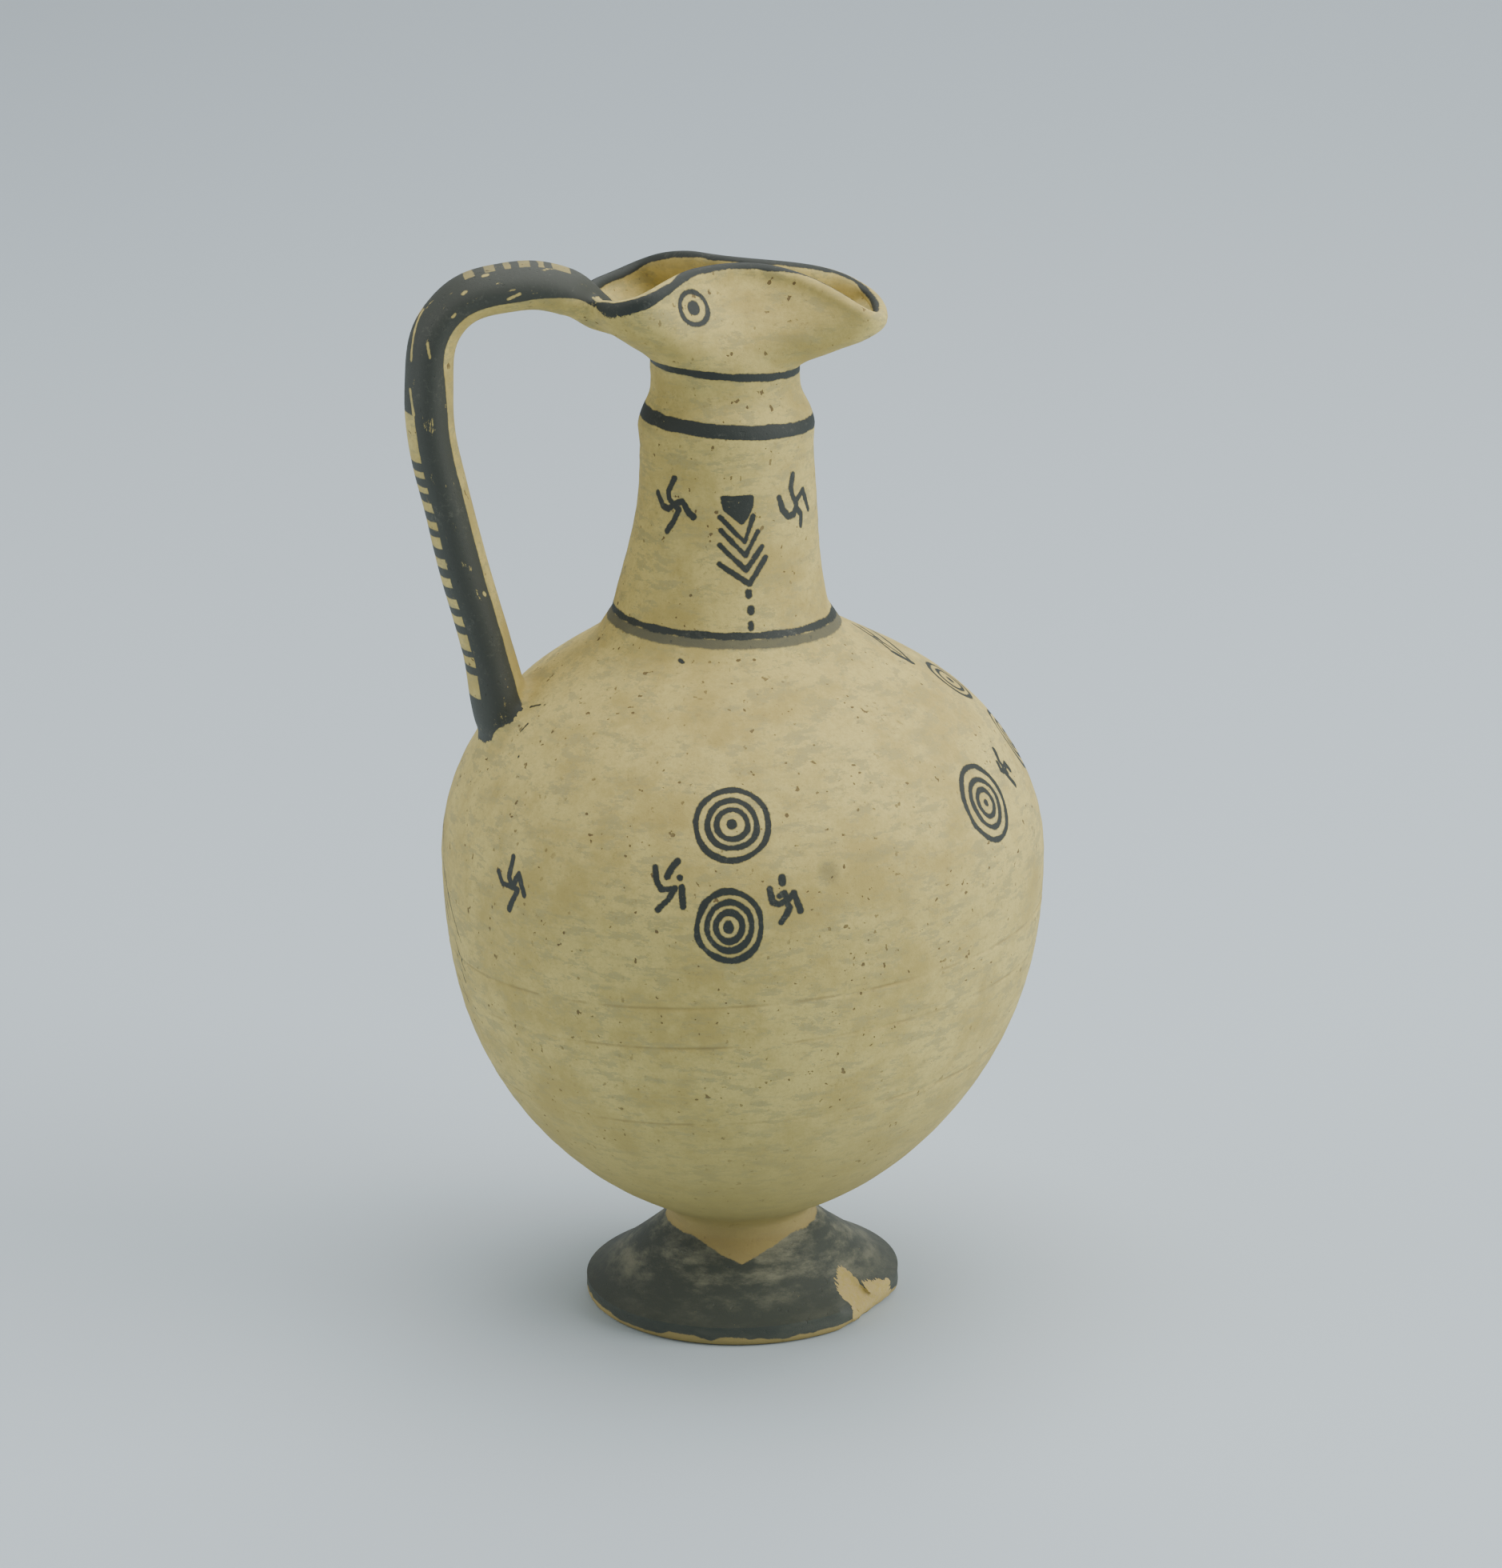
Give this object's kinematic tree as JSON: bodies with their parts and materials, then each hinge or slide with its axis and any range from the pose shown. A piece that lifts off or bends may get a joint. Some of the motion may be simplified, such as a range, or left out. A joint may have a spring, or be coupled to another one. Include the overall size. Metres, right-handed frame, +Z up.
{
  "type": "pottery pitcher",
  "caption": "Thrown clay pitcher with an egg-shaped body, conical neck, pinched beak-like mouth, strap handle to the shoulder and flaring foot with a chipped rim.",
  "frame": {"origin": "centre of the flat underside of the foot, at the height of the surface that it stands on", "axes": "+Z up along the axis of the body, +X towards the spout, so the handle is on the -X side"},
  "size_m": [0.1735, 0.1686, 0.3019],
  "materials": {
    "fired_clay": "matt buff clay with matt black paint"
  },
  "bodies": {
    "root": {"pitcher": "fired_clay"}
  },
  "joints": []
}
